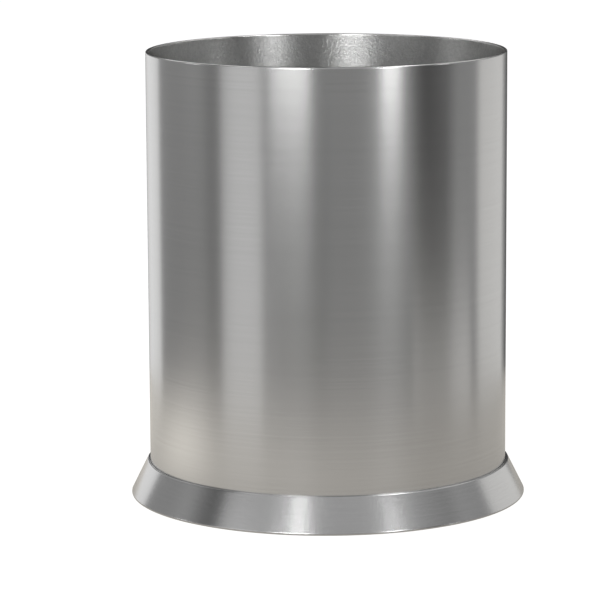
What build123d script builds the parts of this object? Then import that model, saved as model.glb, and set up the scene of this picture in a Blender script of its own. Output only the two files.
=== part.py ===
from build123d import *
import os
from math import acos, atan2, degrees, hypot

# Open round wastebasket in stainless steel sheet, millimetres, +Z up.
# The origin is on the floor, on the basket's own axis, under its middle.
# Each steel piece is one sheet, bent to a section and turned about +Z. Its
# section is drawn as the line through the middle of the sheet, which is then
# given the sheet's thickness and its rounded, deburred edges.

# --- driving dimensions -------------------------------------------------
overall_height = 242.4      # floor to the top of the rim
shell_diameter = 194.2      # outside of the rolled shell
skirt_flare = 10.3          # how far the skirt's foot stands out past the shell
skirt_height = 18.8         # underside of the skirt's foot to the fold at its top

sheet = 0.5                 # steel sheet of all three pieces

rim_width = 1.7             # across the folded lip of the shell
rim_flap = 25.0             # depth of the fold inside the mouth

fold_radius = 0.9           # outside radius of the fold along the skirt's top
foot_width = 1.7            # across the folded lip of the skirt's foot
foot_flap = 5.0             # length of that fold up inside the cone
band_rise = 1.5             # lower end of the skirt's band above the shell's edge

pan_flange = 12.0           # height of the pan's turned-up wall
pan_bend = 2.5              # outside radius between the pan's wall and floor
pan_ledge = 30.0            # flat ring of the floor, from the wall inwards
panel_rise = 2.5            # raised middle of the floor, above the ledge
panel_slope = 3.0           # run of the slope up to the raised middle
panel_bend = 1.2            # bend radius at both ends of that slope

pad_diameter = 18.0         # stick-on rubber foot
pad_height = 3.0
pad_chamfer = 0.6
pad_count = 4
pad_proud = 0.5             # pads below the skirt's foot, so only they touch

# --- fits ---------------------------------------------------------------
skirt_clearance = 0.0       # skirt's band on the shell: spot-welded, face to face
pan_clearance = 0.0         # pan's wall in the shell: spot-welded, face to face

# --- worked out ---------------------------------------------------------
half_sheet = sheet / 2
shell_radius = shell_diameter / 2
shell_bottom = pad_height
skirt_bottom = pad_proud
skirt_top = skirt_bottom + skirt_height
band_radius = shell_radius + skirt_clearance
band_bottom = shell_bottom + band_rise
foot_radius = shell_radius + skirt_flare
pan_radius = shell_radius - sheet - pan_clearance
panel_radius = pan_radius - pan_ledge
ledge_width = pan_ledge - pan_bend - panel_slope
ledge_middle = pan_radius - pan_bend - ledge_width / 2

os.makedirs("parts", exist_ok=True)

# --- shell: rolled cylinder, its top edge folded in and down --------------
lip_radius = rim_width / 2
lip_centre = (shell_radius - lip_radius, overall_height - lip_radius)

with BuildPart() as shell:
    with BuildSketch(Plane.XZ):
        with BuildLine():
            rim_fold = CenterArc(lip_centre, lip_radius - half_sheet, 0, 180)
            Line((shell_radius - half_sheet, shell_bottom + half_sheet), rim_fold @ 0)
            Line(rim_fold @ 1, (shell_radius - rim_width + half_sheet, overall_height - rim_flap))
            offset(amount=half_sheet)
        make_face()
    revolve(axis=Axis.Z)

# --- base skirt: a band on the shell, folded over into a flared cone -------
# The cone touches the fold at its top and the lip at its foot, so its angle
# follows from the sizes above. cone_normal is its outward normal, in degrees.
fold_centre = (band_radius + fold_radius, skirt_top - fold_radius)
foot_lip = foot_width / 2
foot_centre = (foot_radius - foot_lip, skirt_bottom + foot_lip)
across = foot_centre[0] - fold_centre[0]
down = foot_centre[1] - fold_centre[1]
cone_turn = acos((fold_radius - foot_lip) / hypot(across, down))
cone_normal = degrees(atan2(down, across) + cone_turn)

with BuildPart() as base_skirt:
    with BuildSketch(Plane.XZ):
        with BuildLine():
            top_fold = CenterArc(fold_centre, fold_radius - half_sheet, 180, cone_normal - 180)
            foot_fold = CenterArc(foot_centre, foot_lip - half_sheet, cone_normal, -180)
            Line((band_radius + half_sheet, band_bottom + half_sheet), top_fold @ 0)
            Line(top_fold @ 1, foot_fold @ 0)
            PolarLine(foot_fold @ 1, foot_flap, cone_normal + 90)
            offset(amount=half_sheet)
        make_face()
    revolve(axis=Axis.Z)

# --- bottom pan: pressed disc with a turned-up wall and a raised middle -----
# This line is the pan's underside and outer face; the sheet lies above it.
ledge_level = pad_height
panel_level = ledge_level + panel_rise

with BuildPart() as bottom_pan:
    with BuildSketch(Plane.XZ):
        with BuildLine():
            FilletPolyline(
                (0, panel_level),
                (panel_radius, panel_level),
                (panel_radius + panel_slope, ledge_level),
                (pan_radius, ledge_level),
                (pan_radius, ledge_level + pan_flange),
                radius=[panel_bend, panel_bend, pan_bend],
            )
            offset(amount=sheet, side=Side.LEFT)
        make_face()
    revolve(axis=Axis.Z)

# --- foot pads: rubber discs stuck under the pan's ledge --------------------
foot_pads = []
for place in PolarLocations(ledge_middle, pad_count, start_angle=180 / pad_count):
    with BuildPart() as foot_pad:
        with BuildSketch():
            with Locations(place.position):
                Circle(pad_diameter / 2)
        extrude(amount=pad_height)
        chamfer(foot_pad.edges().group_by(Axis.Z)[0], length=pad_chamfer)
    foot_pads.append(foot_pad)

# --- labels and files -------------------------------------------------------
shell.part.label = "shell"
export_step(shell.part, "parts/shell.step")
base_skirt.part.label = "base_skirt"
export_step(base_skirt.part, "parts/base_skirt.step")
bottom_pan.part.label = "bottom_pan"
export_step(bottom_pan.part, "parts/bottom_pan.step")
for number, foot_pad in enumerate(foot_pads, start=1):
    foot_pad.part.label = f"foot_pad_{number}"
    export_step(foot_pad.part, f"parts/foot_pad_{number}.step")
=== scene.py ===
import math

import bpy
from mathutils import Matrix, Vector


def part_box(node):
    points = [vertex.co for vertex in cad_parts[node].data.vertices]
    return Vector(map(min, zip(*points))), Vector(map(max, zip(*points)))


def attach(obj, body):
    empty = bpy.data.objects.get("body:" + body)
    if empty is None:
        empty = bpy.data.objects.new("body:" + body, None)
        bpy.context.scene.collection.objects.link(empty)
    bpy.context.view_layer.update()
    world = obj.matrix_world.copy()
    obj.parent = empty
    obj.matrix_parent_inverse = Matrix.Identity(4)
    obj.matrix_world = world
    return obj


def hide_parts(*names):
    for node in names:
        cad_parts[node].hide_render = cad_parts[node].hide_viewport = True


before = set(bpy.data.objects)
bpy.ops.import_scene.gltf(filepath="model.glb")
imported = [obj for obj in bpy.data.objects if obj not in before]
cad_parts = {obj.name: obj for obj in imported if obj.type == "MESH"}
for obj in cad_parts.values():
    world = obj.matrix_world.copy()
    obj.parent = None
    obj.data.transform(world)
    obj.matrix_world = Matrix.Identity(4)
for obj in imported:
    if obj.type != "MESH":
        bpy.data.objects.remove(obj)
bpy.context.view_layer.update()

# Metres throughout, +Z up, floor at Z 0, the basket's axis on Z.

# --- sizes -------------------------------------------------------------------
MM = 0.001
SHEET = 0.5 * MM                # steel sheet of shell, skirt and pan
RIM_WIDTH = 1.7 * MM            # folded lip of the shell
RIM_FLAP = 25 * MM
FOLD_RADIUS = 0.9 * MM          # fold along the top of the skirt, outside
FOOT_WIDTH = 1.7 * MM           # folded lip of the skirt's foot
FOOT_FLAP = 5 * MM
BAND_RISE = 1.5 * MM            # skirt's band above the shell's lower edge
PAN_BEND = 2.5 * MM
PAN_LEDGE = 30 * MM
PANEL_RISE = 2.5 * MM
PANEL_SLOPE = 3 * MM
PAD_EDGE = 0.6 * MM             # rounded edge of the rubber feet
PAD_RING = 2.4 * MM             # plain border round the hollow under each foot
PAD_HOLLOW = 0.35 * MM
PAD_COUNT = 4
WELD_COUNT = 16                 # spot welds round the pan's wall
WELD_RADIUS = 2.2 * MM

TURNS = 320                     # steps of a full turn about the axis
FOLD_STEPS = 14                 # steps of each small fold
PAD_STEPS = 96                  # steps round each rubber foot
HOLD = 0.25 * MM                # short strip that keeps a straight wall straight beside a fold
EDGE_ANGLE = math.radians(60)   # edges sharper than this get rounded

shell_low, shell_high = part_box("shell")
skirt_low, skirt_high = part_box("base_skirt")
pan_low, pan_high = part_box("bottom_pan")

SHELL_RADIUS = shell_high.x
FOOT_RADIUS = skirt_high.x
PAN_RADIUS = pan_high.x


# --- modelling helpers ----------------------------------------------------------
def deselect_everything():
    if bpy.context.object and bpy.context.object.mode != "OBJECT":
        bpy.ops.object.mode_set(mode="OBJECT")
    bpy.ops.object.select_all(action="DESELECT")


def start_section(name, radius, level):
    """A single point in the section plane, in edit mode, ready to be drawn on."""
    deselect_everything()
    bpy.ops.mesh.primitive_plane_add(size=MM, location=(radius, 0, level))
    piece = bpy.context.object
    piece.name = name
    piece.data.name = name
    bpy.ops.object.transform_apply(location=True, rotation=True, scale=True)
    bpy.ops.object.mode_set(mode="EDIT")
    bpy.ops.mesh.select_mode(type="VERT")
    bpy.ops.mesh.select_all(action="SELECT")
    bpy.ops.mesh.merge(type="CENTER")
    return piece


def draw_line(radial, upward, steps=1):
    """Extends the section's open end by a straight line, with a short strip at each end."""
    hold = HOLD / math.hypot(radial, upward)
    shares = [hold] + [(1 - 2 * hold) / steps] * steps + [hold]
    for share in shares:
        bpy.ops.mesh.extrude_region_move(
            TRANSFORM_OT_translate={"value": (radial * share, 0, upward * share)})


def draw_fold(radius, level, turn, steps=FOLD_STEPS):
    """Extends the section's open end by an arc about a centre; turn in degrees, + is from +X to +Z."""
    bpy.ops.mesh.spin(steps=steps, angle=math.radians(turn), center=(radius, 0, level), axis=(0, 1, 0))


def turn_about_axis(steps=TURNS):
    """Spins the section once round +Z and closes the seam."""
    bpy.ops.mesh.select_all(action="SELECT")
    bpy.ops.mesh.spin(steps=steps, angle=2 * math.pi, center=(0, 0, 0), axis=(0, 0, 1))
    bpy.ops.mesh.select_all(action="SELECT")
    bpy.ops.mesh.remove_doubles(threshold=0.01 * MM)
    bpy.ops.mesh.normals_make_consistent(inside=False)
    bpy.ops.object.mode_set(mode="OBJECT")


def apply_modifier(piece, kind, **settings):
    bpy.context.view_layer.objects.active = piece
    modifier = piece.modifiers.new(kind.title(), kind)
    for key, value in settings.items():
        setattr(modifier, key, value)
    bpy.ops.object.modifier_apply(modifier=modifier.name)


def give_sheet_thickness(piece, edge_round=0.18 * MM):
    """Thickness to both sides of the drawn line, and rounded sheet edges."""
    apply_modifier(piece, "SOLIDIFY", thickness=SHEET, offset=0, use_even_offset=True, use_rim=True)
    apply_modifier(piece, "BEVEL", width=edge_round, segments=3, limit_method="ANGLE",
                   angle_limit=EDGE_ANGLE)
    smooth(piece)


def smooth(piece, angle=35):
    deselect_everything()
    piece.select_set(True)
    bpy.context.view_layer.objects.active = piece
    bpy.ops.object.shade_smooth_by_angle(angle=math.radians(angle))


def select_faces(piece, wanted):
    """Edit mode, with just the faces selected whose middle and normal pass a test."""
    deselect_everything()
    bpy.context.view_layer.objects.active = piece
    piece.select_set(True)
    bpy.ops.object.mode_set(mode="EDIT")
    bpy.ops.mesh.select_mode(type="FACE")
    bpy.ops.mesh.select_all(action="DESELECT")
    bpy.ops.object.mode_set(mode="OBJECT")
    for face in piece.data.polygons:
        face.select = bool(wanted(face.center, face.normal))
    bpy.ops.object.mode_set(mode="EDIT")


def give_material(piece, material, wanted):
    """A second finish on the faces whose middle and normal pass a test."""
    piece.data.materials.append(material)
    select_faces(piece, wanted)
    piece.active_material_index = len(piece.data.materials) - 1
    bpy.ops.object.material_slot_assign()
    bpy.ops.object.mode_set(mode="OBJECT")


def finish_piece(piece, node):
    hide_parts(node)
    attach(piece, "root")


# --- the shell -------------------------------------------------------------------
def make_shell():
    half = SHEET / 2
    lip = RIM_WIDTH / 2
    lip_level = shell_high.z - lip
    piece = start_section("shell_body", SHELL_RADIUS - half, shell_low.z)
    draw_line(0, lip_level - shell_low.z, steps=48)
    draw_fold(SHELL_RADIUS - lip, lip_level, 180)
    draw_line(0, -(RIM_FLAP - lip), steps=5)
    turn_about_axis()
    give_sheet_thickness(piece)
    return piece


# --- the base skirt ----------------------------------------------------------------
def make_skirt():
    half = SHEET / 2
    lip = FOOT_WIDTH / 2
    fold_x, fold_z = SHELL_RADIUS + FOLD_RADIUS, skirt_high.z - FOLD_RADIUS
    foot_x, foot_z = FOOT_RADIUS - lip, skirt_low.z + lip
    across, down = foot_x - fold_x, foot_z - fold_z
    cone_normal = math.atan2(down, across) + math.acos((FOLD_RADIUS - lip) / math.hypot(across, down))
    cone_length = math.sqrt(across**2 + down**2 - (FOLD_RADIUS - lip)**2)
    run = Vector((math.sin(cone_normal), -math.cos(cone_normal)))
    band_low = shell_low.z + BAND_RISE
    piece = start_section("skirt_ring", SHELL_RADIUS + half, band_low)
    draw_line(0, fold_z - band_low, steps=3)
    draw_fold(fold_x, fold_z, math.degrees(cone_normal) - 180)
    draw_line(run.x * cone_length, run.y * cone_length, steps=8)
    draw_fold(foot_x, foot_z, -180)
    draw_line(-run.x * FOOT_FLAP, -run.y * FOOT_FLAP, steps=2)
    turn_about_axis()
    give_sheet_thickness(piece)
    return piece


# --- the bottom pan -------------------------------------------------------------------
def make_pan():
    half = SHEET / 2
    piece = start_section("pan_disc", 0, pan_low.z + PANEL_RISE + half)
    panel = PAN_RADIUS - PAN_LEDGE
    draw_line(panel, 0, steps=6)
    draw_line(PANEL_SLOPE, -PANEL_RISE, steps=2)
    ledge = PAN_RADIUS - PAN_BEND - panel - PANEL_SLOPE
    draw_line(ledge, 0, steps=4)
    draw_fold(PAN_RADIUS - PAN_BEND, pan_low.z + PAN_BEND, 90)
    draw_line(0, pan_high.z - pan_low.z - PAN_BEND, steps=3)
    turn_about_axis()
    give_sheet_thickness(piece)
    return piece


# --- the rubber feet --------------------------------------------------------------------
def make_first_pad():
    """A stick-on foot with a rounded edge and a shallow hollow in its underside."""
    low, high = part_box("foot_pad_1")
    middle = (low + high) / 2
    deselect_everything()
    bpy.ops.mesh.primitive_cylinder_add(
        vertices=PAD_STEPS, radius=(high.x - low.x) / 2, depth=high.z - low.z,
        location=middle, end_fill_type="NGON")
    pad = bpy.context.object
    bpy.ops.object.transform_apply(location=True, rotation=True, scale=True)
    select_faces(pad, lambda centre, normal: normal.z < -0.9)
    bpy.ops.mesh.inset(thickness=PAD_RING)
    bpy.ops.mesh.inset(thickness=PAD_HOLLOW)
    bpy.ops.transform.translate(value=(0, 0, PAD_HOLLOW))
    bpy.ops.object.mode_set(mode="OBJECT")
    apply_modifier(pad, "BEVEL", width=PAD_EDGE, segments=5, limit_method="ANGLE",
                   angle_limit=EDGE_ANGLE)
    smooth(pad)
    return pad


def make_pads(rubber):
    first = make_first_pad()
    first.data.materials.append(rubber)
    pads = [first]
    for number in range(2, PAD_COUNT + 1):
        deselect_everything()
        first.select_set(True)
        bpy.context.view_layer.objects.active = first
        bpy.ops.object.duplicate(linked=False)
        pad = bpy.context.object
        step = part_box(f"foot_pad_{number}")[0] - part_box("foot_pad_1")[0]
        bpy.ops.transform.translate(value=step)
        bpy.ops.object.transform_apply(location=True, rotation=True, scale=True)
        pads.append(pad)
    for number, pad in enumerate(pads, start=1):
        pad.name = f"rubber_foot_{number}"
        pad.data.name = pad.name
        finish_piece(pad, f"foot_pad_{number}")


# --- shader arithmetic --------------------------------------------------------------------
class Value:
    """A shader socket that takes part in Python arithmetic, by adding Math nodes."""

    def __init__(self, finish, socket):
        self.finish = finish
        self.socket = socket

    def __add__(self, other):
        return self.finish.maths("ADD", self, other)

    def __sub__(self, other):
        return self.finish.maths("SUBTRACT", self, other)

    def __rsub__(self, other):
        return self.finish.maths("SUBTRACT", other, self)

    def __mul__(self, other):
        return self.finish.maths("MULTIPLY", self, other)

    def __truediv__(self, other):
        return self.finish.maths("DIVIDE", self, other)

    def __rtruediv__(self, other):
        return self.finish.maths("DIVIDE", other, self)

    def __abs__(self):
        return self.finish.maths("ABSOLUTE", self)

    __radd__ = __add__
    __rmul__ = __mul__


class Finish:
    """The nodes of one material, or of the studio's surroundings."""

    def __init__(self, owner):
        self.owner = owner
        owner.use_nodes = True
        self.tree = owner.node_tree
        self.tree.nodes.clear()

    def node(self, kind, settings=None, sockets=None, output=0):
        """Adds a node: its settings first, then the values and links of its sockets."""
        node = self.tree.nodes.new(kind)
        for key, value in (settings or {}).items():
            setattr(node, key, value)
        for key, value in (sockets or {}).items():
            socket = node.inputs[key]
            if isinstance(value, Value):
                self.tree.links.new(value.socket, socket)
            else:
                socket.default_value = (*value, 1) if socket.type == "RGBA" else value
        return Value(self, node.outputs[output]) if node.outputs else node

    def maths(self, operation, *values):
        return self.node("ShaderNodeMath", {"operation": operation}, dict(enumerate(values)))

    def place(self):
        return self.node("ShaderNodeTexCoord", output="Object")

    def split(self, vector):
        """The X, Y and Z of a vector."""
        node = self.node("ShaderNodeSeparateXYZ", sockets={0: vector}).socket.node
        return [Value(self, socket) for socket in node.outputs]

    def noise(self, place, scale, detail=2.0, roughness=0.5):
        """Noise from 0 to 1, its scale in features per metre along X, Y and Z."""
        stretched = self.node("ShaderNodeMapping", sockets={"Vector": place, "Scale": scale})
        return self.node("ShaderNodeTexNoise", sockets={
            "Vector": stretched, "Scale": 1.0, "Detail": detail, "Roughness": roughness})

    def step(self, value, low, high):
        """0 up to low, 1 from high on, smooth in between."""
        return self.node("ShaderNodeMapRange", {"interpolation_type": "SMOOTHSTEP"},
                         {"Value": value, "From Min": low, "From Max": high})

    def mix(self, factor, first, second):
        return self.node("ShaderNodeMix", {"data_type": "RGBA"},
                         {0: factor, 6: first, 7: second}, output=2)

    def bump(self, height, distance):
        """Surface detail; distance in metres for a height from 0 to 1."""
        return self.node("ShaderNodeBump", sockets={
            "Height": height, "Distance": distance, "Strength": 1.0})

    def surface(self, **sockets):
        """The material's shader, with underscores for the spaces in its socket names."""
        named = {key.replace("_", " "): value for key, value in sockets.items()}
        shader = self.node("ShaderNodeBsdfPrincipled", sockets=named)
        self.node("ShaderNodeOutputMaterial", sockets={"Surface": shader})

    def around(self):
        """The direction round the axis, which brushing follows."""
        return self.node("ShaderNodeTangent", {"direction_type": "RADIAL", "axis": "Z"})


def new_finish(name):
    return Finish(bpy.data.materials.new(name))


# --- steel and rubber ------------------------------------------------------------------------
ACROSS_BRUSHING = 0.25          # turns the stretched highlight across the brushed lines


def brushed_shell():
    """The shell's outside: long fine lines round the body, and a flush weld seam at the back."""
    finish = new_finish("brushed_shell")
    place = finish.place()
    x, y = finish.split(place)[:2]
    fine = finish.noise(place, (7, 7, 1900), detail=3, roughness=0.6)
    wide = finish.noise(place, (1.5, 1.5, 520), detail=2)
    clouds = finish.noise(place, (11, 11, 7), detail=2)
    beside_seam = 1 - finish.step(abs(x), 0.5 * MM, 1.3 * MM)
    seam = beside_seam * finish.step(y, 0, 10 * MM)
    tone = fine * 0.6 + wide * 0.15 + clouds * 0.25 - seam * 0.25
    colour = finish.mix(tone, (0.565, 0.563, 0.56), (0.695, 0.694, 0.69))
    relief = fine * 0.8 + wide * 0.2 - seam * 0.6
    finish.surface(
        Base_Color=colour,
        Metallic=1.0,
        Roughness=0.215 + fine * 0.03 + clouds * 0.02 + seam * 0.05,
        Anisotropic=0.56,
        Anisotropic_Rotation=ACROSS_BRUSHING,
        Tangent=finish.around(),
        Normal=finish.bump(relief, 0.011 * MM))
    return finish.owner


def satin_inside():
    """The unbrushed inner side of the sheet: an even satin with a visible grain."""
    finish = new_finish("satin_inside")
    place = finish.place()
    grain = finish.noise(place, (780, 780, 780), detail=3, roughness=0.7)
    flecks = finish.noise(place, (330, 330, 330), detail=3, roughness=0.6)
    clouds = finish.noise(place, (25, 25, 25), detail=2)
    tone = grain * 0.45 + flecks * 0.35 + clouds * 0.2
    finish.surface(
        Base_Color=finish.mix(tone, (0.34, 0.34, 0.335), (1.0, 1.0, 0.99)),
        Metallic=1.0,
        Roughness=0.255 + grain * 0.06 + clouds * 0.03,
        Anisotropic=0.88,
        Anisotropic_Rotation=ACROSS_BRUSHING,
        Tangent=finish.around(),
        Normal=finish.bump(grain * 0.6 + flecks * 0.4, 0.22 * MM))
    return finish.owner


def polished_fold():
    """The rolled lip, rubbed brighter than the sheet round it."""
    finish = new_finish("polished_fold")
    place = finish.place()
    scuffs = finish.noise(place, (60, 60, 1800), detail=2)
    clouds = finish.noise(place, (30, 30, 30), detail=2)
    finish.surface(
        Base_Color=finish.mix(scuffs, (0.66, 0.66, 0.655), (0.74, 0.74, 0.735)),
        Metallic=1.0,
        Roughness=0.15 + clouds * 0.06,
        Anisotropic=0.3,
        Anisotropic_Rotation=ACROSS_BRUSHING,
        Tangent=finish.around(),
        Normal=finish.bump(scuffs, 0.003 * MM))
    return finish.owner


def brushed_skirt():
    """The skirt's outside: closer to a polish than the shell, with a light grain."""
    finish = new_finish("brushed_skirt")
    place = finish.place()
    lines = finish.noise(place, (30, 30, 1500), detail=2)
    grain = finish.noise(place, (650, 650, 650), detail=3, roughness=0.65)
    clouds = finish.noise(place, (14, 14, 14), detail=2)
    tone = lines * 0.4 + grain * 0.3 + clouds * 0.3
    finish.surface(
        Base_Color=finish.mix(tone, (0.55, 0.55, 0.55), (0.71, 0.71, 0.71)),
        Metallic=1.0,
        Roughness=0.175 + grain * 0.03 + clouds * 0.03,
        Anisotropic=0.3,
        Anisotropic_Rotation=ACROSS_BRUSHING,
        Tangent=finish.around(),
        Normal=finish.bump(lines * 0.3 + grain * 0.7, 0.03 * MM))
    return finish.owner


def mill_pan():
    """The pan's mill finish, with rolling lines one way and a row of spot welds round its wall."""
    finish = new_finish("mill_pan")
    place = finish.place()
    x, y, z = finish.split(place)
    rolling = finish.noise(place, (18, 900, 900), detail=3)
    grain = finish.noise(place, (700, 700, 700), detail=2)
    clouds = finish.noise(place, (20, 35, 35), detail=3)
    weld = weld_marks(finish, x, y, z)
    tone = rolling * 0.45 + grain * 0.2 + clouds * 0.35 - weld * 0.35
    finish.surface(
        Base_Color=finish.mix(tone, (0.47, 0.47, 0.46), (0.66, 0.66, 0.65)),
        Metallic=1.0,
        Roughness=0.30 + clouds * 0.12 + weld * 0.08,
        Normal=finish.bump(rolling * 0.4 + grain * 0.3 - weld * 1.2, 0.03 * MM))
    return finish.owner


def weld_marks(finish, x, y, z):
    """1 in each round spot-weld dimple along the pan's wall, 0 elsewhere."""
    turn = 2 * math.pi / WELD_COUNT
    angle = finish.maths("ARCTAN2", y, x)
    offset = finish.maths("PINGPONG", angle, turn / 2)
    along = (turn / 2 - offset) * PAN_RADIUS
    upward = z - (pan_low.z + pan_high.z + PAN_BEND) / 2
    wall = finish.step(finish.maths("SQRT", x * x + y * y), PAN_RADIUS - 1.5 * MM, PAN_RADIUS - 1 * MM)
    distance = finish.maths("SQRT", along * along + upward * upward)
    return wall * (1 - finish.step(distance, WELD_RADIUS - 0.5 * MM, WELD_RADIUS))


def matt_rubber():
    finish = new_finish("matt_rubber")
    place = finish.place()
    grain = finish.noise(place, (1500, 1500, 1500), detail=2)
    dust = finish.noise(place, (160, 160, 160), detail=3)
    finish.surface(
        Base_Color=finish.mix(dust, (0.018, 0.018, 0.019), (0.055, 0.054, 0.052)),
        Roughness=0.62 + dust * 0.2,
        Normal=finish.bump(grain, 0.05 * MM))
    return finish.owner


# --- the pieces ---------------------------------------------------------------------------------
shell_steel = brushed_shell()
inside_steel = satin_inside()
lip_steel = polished_fold()
skirt_steel = brushed_skirt()
pan_steel = mill_pan()
rubber = matt_rubber()

lip_level = shell_high.z - RIM_WIDTH / 2
shell = make_shell()
shell.data.materials.append(inside_steel)

def is_outside_wall(centre, normal):
    return centre.xy.length > SHELL_RADIUS - SHEET / 2 and centre.z < lip_level


def is_lip(centre, normal):
    return centre.z >= lip_level


def faces_out_or_up(centre, normal):
    return normal.dot(Vector((*centre.xy.normalized(), 1))) > 0.1


give_material(shell, shell_steel, is_outside_wall)
give_material(shell, lip_steel, is_lip)
finish_piece(shell, "shell")

skirt = make_skirt()
skirt.data.materials.append(inside_steel)
give_material(skirt, skirt_steel, faces_out_or_up)
finish_piece(skirt, "base_skirt")

pan = make_pan()
pan.data.materials.append(pan_steel)
finish_piece(pan, "bottom_pan")

make_pads(rubber)

# --- studio -------------------------------------------------------------------------------------
SOFTBOX_DISTANCE = 0.8          # metres from the basket's axis
TABLE_RADIUS = 0.38
PAINTED_LIGHT_SPOT = (-0.26, -0.02)     # middle of the table's painted pool of light
PAINTED_SPOT_RADIUS = 0.15
FLOOR_RADIUS = 4
LAMP_POWER = 2.35               # watts per square metre for a brightness of 1

WARM = (1.0, 0.985, 0.955)
CREAM = (1.0, 0.955, 0.88)
NEUTRAL = (1.0, 1.0, 1.0)

# Angles go round from the camera's side, in degrees, + to the right.
# (name, angle of its middle, width in degrees, lower edge, upper edge, brightness, colour)
SOFTBOXES = (
    ("key_right", 38.5, 12, 0.17, 0.30, 2.7, NEUTRAL),
    ("key_right_high", 38.5, 11, 0.30, 0.37, 9.3, NEUTRAL),
    ("side_right", 125.5, 39, -0.4, 0.28, 0.60, WARM),
    ("side_right_top", 125.5, 39, 0.65, 1.5, 0.60, WARM),
    ("side_left", -145, 36, -0.4, 0.28, 0.85, NEUTRAL),
    ("side_left_top", -145, 36, 0.65, 1.5, 0.85, NEUTRAL),
    ("front_left", -52.5, 27, -0.4, 0.45, 0.56, NEUTRAL),
    ("key_left", -21.5, 24, 0.17, 0.30, 1.6, NEUTRAL),
    ("key_left_high", -21, 21, 0.30, 0.40, 7.0, NEUTRAL),
    ("key_left_top", -18, 9, 0.5, 1.1, 1.0, NEUTRAL),
    ("mouth_right", 36, 9, 0.37, 0.41, 9.0, NEUTRAL),
    ("mouth_left", -16, 14, 0.40, 0.43, 13.0, NEUTRAL),
    ("low_right", 76, 46, -0.5, -0.03, 0.68, WARM),
)

# Far boxes that look in over the lip and leave the skirt alone.
FAR_DISTANCE = 3.0
FAR_BOXES = (
    ("far_right", 36, 8, 0.78, 1.12, 11.0, NEUTRAL),
    ("far_left", -17, 14, 0.78, 1.12, 9.0, NEUTRAL),
    ("far_side_right", 78, 12, 0.62, 0.82, 6.0, NEUTRAL),
    ("far_side_left", -92, 12, 0.60, 0.80, 4.5, NEUTRAL),
)

# (name, angle, distance out from the axis, side of the square, brightness)
CEILING_PANELS = (
    ("ceiling_right", 78, 0.62, 0.30, 9.0),
    ("ceiling_left", -90, 0.66, 0.36, 2.0),
    ("ceiling_middle", -48, 0.36, 0.26, 4.0),
)
CEILING_HEIGHT = 1.3


def add_lamp(name, across, tall, brightness, colour, place, tilt):
    """A rectangular area lamp that the camera doesn't see."""
    lamp = bpy.data.lights.new(name, "AREA")
    lamp.shape = "RECTANGLE"
    lamp.size = across
    lamp.size_y = tall
    lamp.energy = brightness * LAMP_POWER * across * tall
    lamp.color = colour
    softbox = bpy.data.objects.new(name, lamp)
    softbox.location = place
    softbox.rotation_euler = tilt
    softbox.visible_camera = False
    bpy.context.scene.collection.objects.link(softbox)


def around_axis(angle, distance, level):
    turn = math.radians(angle)
    return Vector((distance * math.sin(turn), -distance * math.cos(turn), level))


def add_softbox(distance, name, angle, width, low, high, brightness, colour):
    """An upright lamp that faces the basket's axis."""
    across = 2 * distance * math.tan(math.radians(width / 2))
    place = around_axis(angle, distance, (low + high) / 2)
    upright = (math.pi / 2, 0, math.radians(angle))
    add_lamp(name, across, high - low, brightness, colour, place, upright)


def add_ceiling_panel(name, angle, out, side, brightness):
    """A square lamp that faces straight down."""
    place = around_axis(angle, out, CEILING_HEIGHT)
    add_lamp(name, side, side, brightness, NEUTRAL, place, (0, 0, math.radians(angle)))


def add_surroundings():
    """Grey walls with darker stretches for reflections, and plain white where the camera looks."""
    world = bpy.data.worlds.new("studio")
    bpy.context.scene.world = world
    finish = Finish(world)
    x, y, z = finish.split(finish.node("ShaderNodeTexCoord", output="Generated"))
    level = finish.maths("SQRT", x * x + y * y)

    def stretch(angle, half_width, edge):
        """1 in a stretch of wall about an angle, in degrees, with a soft edge."""
        turn = math.radians(angle)
        nearness = (x * math.sin(turn) - y * math.cos(turn)) / level
        outer = math.cos(math.radians(half_width + edge / 2))
        inner = math.cos(math.radians(half_width - edge / 2))
        return finish.step(nearness, outer, inner)

    overhead = finish.step(z, 0.3, 0.6)
    dark_right = stretch(71, 13, 14) * (1 - overhead) * 0.84
    dark_left = stretch(-73, 8, 8) * 0.3
    dark_above = stretch(-82, 8, 10) * overhead * 0.8
    dim_above = stretch(-99, 20, 10) * overhead * 0.45
    dark_behind = stretch(180, 20, 12) * 0.8
    dark_front = stretch(-15, 14, 10) * (1 - overhead) * 0.34
    grey = 0.18 + finish.step(z, -0.3, -0.12) * 0.13 + overhead * 0.13
    for dark in (dark_right, dark_left, dark_above, dim_above, dark_behind, dark_front):
        grey = grey * (1 - dark)
    path = finish.node("ShaderNodeLightPath", output="Is Camera Ray")
    walls = finish.node("ShaderNodeBackground", sockets={"Color": NEUTRAL, "Strength": grey})
    backdrop = finish.node("ShaderNodeBackground", sockets={"Color": NEUTRAL, "Strength": 1.0})
    shown = finish.node("ShaderNodeMixShader", sockets={0: path, 1: walls, 2: backdrop})
    finish.node("ShaderNodeOutputWorld", sockets={"Surface": shown})


def add_disc(name, radius, level):
    deselect_everything()
    bpy.ops.mesh.primitive_circle_add(
        vertices=128, radius=radius, fill_type="NGON", location=(0, 0, level))
    disc = bpy.context.object
    disc.name = name
    return disc


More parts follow.
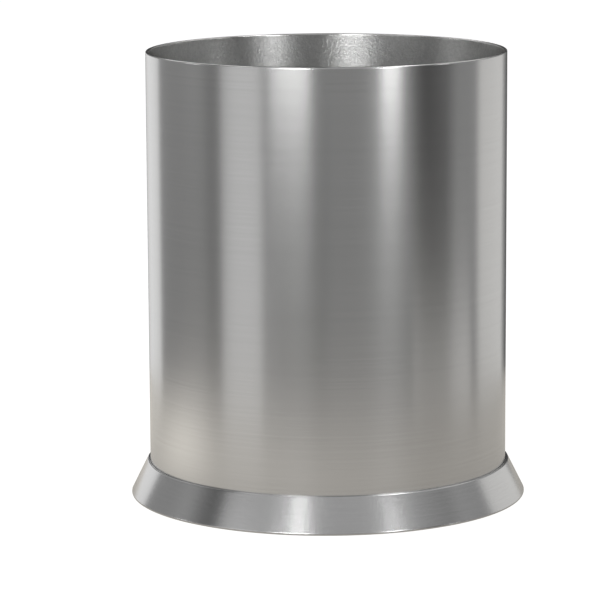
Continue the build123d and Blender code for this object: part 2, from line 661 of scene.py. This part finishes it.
def add_table():
    """The table top that the lower part of the body mirrors: a glowing disc, no lamp, whose emission
    is painted light, with painted shade round the basket's foot, a painted pool of light to the left,
    a falloff towards its edge and a gradient from left to right.
    """
    table = add_disc("table_top", TABLE_RADIUS, 0)
    table.visible_camera = False
    finish = new_finish("painted_light_table")
    x, y = finish.split(finish.place())[:2]
    reach = finish.maths("SQRT", x * x + y * y)
    spot_x = x - PAINTED_LIGHT_SPOT[0]
    spot_y = y - PAINTED_LIGHT_SPOT[1]
    painted_light_pool = 1 - finish.step(finish.maths("SQRT", spot_x * spot_x + spot_y * spot_y), 0.0, PAINTED_SPOT_RADIUS)
    clear_of_painted_shade = finish.step(reach, 0.09, 0.22)
    far = finish.step(reach, 0.30, 0.42)
    # painted light as emission: painted shade within 0.22 m of the axis, dimmer from 0.30 m out,
    # brighter to the left, plus a painted pool of light
    brightness = (0.45 + clear_of_painted_shade * 0.14 - far * 0.1) * (1 - x * 0.7) + painted_light_pool * 0.45
    glow = finish.node("ShaderNodeEmission", sockets={"Color": CREAM, "Strength": brightness})
    finish.node("ShaderNodeOutputMaterial", sockets={"Surface": glow})
    table.data.materials.append(finish.owner)


def add_floor():
    """The plain white floor that the camera sees."""
    floor = add_disc("floor", FLOOR_RADIUS, -0.1 * MM)
    floor.visible_glossy = False
    floor.visible_diffuse = False
    finish = new_finish("white_floor")
    paint = finish.node("ShaderNodeBsdfDiffuse", sockets={"Color": (0.4, 0.4, 0.4)})
    glow = finish.node("ShaderNodeEmission", sockets={"Color": NEUTRAL, "Strength": 0.9})
    both = finish.node("ShaderNodeAddShader", sockets={0: paint, 1: glow})
    finish.node("ShaderNodeOutputMaterial", sockets={"Surface": both})
    floor.data.materials.append(finish.owner)


scene = bpy.context.scene
scene.view_settings.view_transform = "Standard"
scene.view_settings.look = "None"

for softbox in SOFTBOXES:
    add_softbox(SOFTBOX_DISTANCE, *softbox)
for softbox in FAR_BOXES:
    add_softbox(FAR_DISTANCE, *softbox)
for panel in CEILING_PANELS:
    add_ceiling_panel(*panel)
add_surroundings()
add_table()
add_floor()

# --- camera ------------------------------------------------------------------------------
CAMERA_DISTANCE = 1.7529
CAMERA_HEIGHT = 0.40942
CAMERA_PITCH = 0.17143          # radians, down from level
CAMERA_YAW = -0.00843
CAMERA_ROLL = -0.00536
LENS = 196.236                  # focal length in millimetres, behind a 36 mm wide sensor
SENSOR_WIDTH = 36

forward = Vector((math.sin(CAMERA_YAW) * math.cos(CAMERA_PITCH),
                  math.cos(CAMERA_YAW) * math.cos(CAMERA_PITCH),
                  -math.sin(CAMERA_PITCH)))
level_right = Vector((math.cos(CAMERA_YAW), -math.sin(CAMERA_YAW), 0))
level_up = level_right.cross(forward)
right = math.cos(CAMERA_ROLL) * level_right + math.sin(CAMERA_ROLL) * level_up
up = math.cos(CAMERA_ROLL) * level_up - math.sin(CAMERA_ROLL) * level_right
camera_data = bpy.data.cameras.new("camera")
camera = bpy.data.objects.new("camera", camera_data)
scene.collection.objects.link(camera)
camera_data.sensor_width = SENSOR_WIDTH
camera_data.lens = LENS
axes = Matrix((right, up, -forward)).transposed().to_4x4()
camera.matrix_world = Matrix.Translation((0, -CAMERA_DISTANCE, CAMERA_HEIGHT)) @ axes
scene.camera = camera

deselect_everything()
